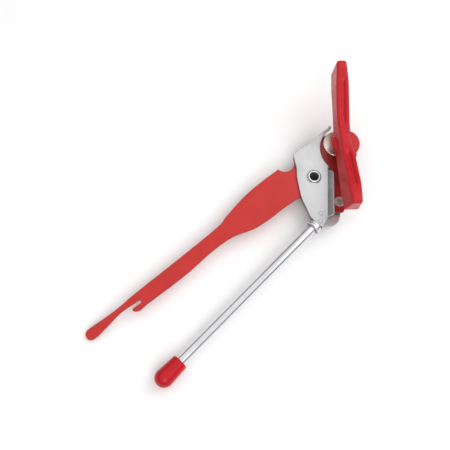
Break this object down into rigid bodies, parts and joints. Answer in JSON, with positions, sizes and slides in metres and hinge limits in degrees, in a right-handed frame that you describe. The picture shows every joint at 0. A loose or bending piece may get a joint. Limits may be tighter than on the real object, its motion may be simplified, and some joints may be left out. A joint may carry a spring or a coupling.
{
  "type": "can opener",
  "caption": "Hand-held can opener: chrome rod handle, red forked lever with bottle opener, butterfly key driving a toothed feed wheel against a round cutter.",
  "frame": {"origin": "centre of the pivot rivet's flat rear head, on the axis that the lever swings about", "axes": "+X from the lever's forked tip towards the key, +Z out of the front cheek towards the key, along the pivot and key axes"},
  "size_m": [0.2682, 0.1167, 0.0472],
  "materials": {
    "red_lacquer": "stove-enamelled, semi-gloss",
    "red_plastic": "moulded, glossy",
    "satin_steel": "nickel-plated, satin",
    "chrome": "bright chrome",
    "hard_steel": "ground and hardened"
  },
  "bodies": {
    "rod_handle": {"front_cheek": "satin_steel", "rear_cheek": "satin_steel", "pivot_rivet": "satin_steel", "pivot_washer": "hard_steel", "rod_socket": "satin_steel", "rod_collar": "chrome", "handle_rod": "chrome", "end_cap": "red_plastic", "socket_rivet_1": "satin_steel", "socket_rivet_2": "satin_steel", "cutter_stud": "hard_steel", "cutter_bush": "hard_steel", "cutter_nut": "satin_steel"},
    "lever_arm": {"lever": "red_lacquer", "lever_bush": "hard_steel", "eccentric_disc": "hard_steel", "hang_eyelet": "satin_steel"},
    "key_drive": {"turning_key": "red_plastic", "key_washer": "hard_steel", "drive_shaft": "hard_steel", "feed_spacer": "hard_steel", "feed_wheel": "hard_steel", "feed_wheel_nut": "satin_steel"},
    "cutter_disc": {"cutter_wheel": "hard_steel"}
  },
  "joints": [
    {"name": "lever_pivot", "type": "hinge", "parent": "rod_handle", "child": "lever_arm", "pos_m": [0, 0, 0.0054], "axis": [0, 0, -1], "range_deg": [0, 10]},
    {"name": "key_turn", "type": "hinge", "parent": "lever_arm", "child": "key_drive", "pos_m": [0.0328, 0.0052, 0], "axis": [0, 0, 1], "continuous": true},
    {"name": "cutter_spin", "type": "hinge", "parent": "rod_handle", "child": "cutter_disc", "pos_m": [0.0233, 0.0176, 0], "axis": [0, 0, 1], "continuous": true}
  ]
}
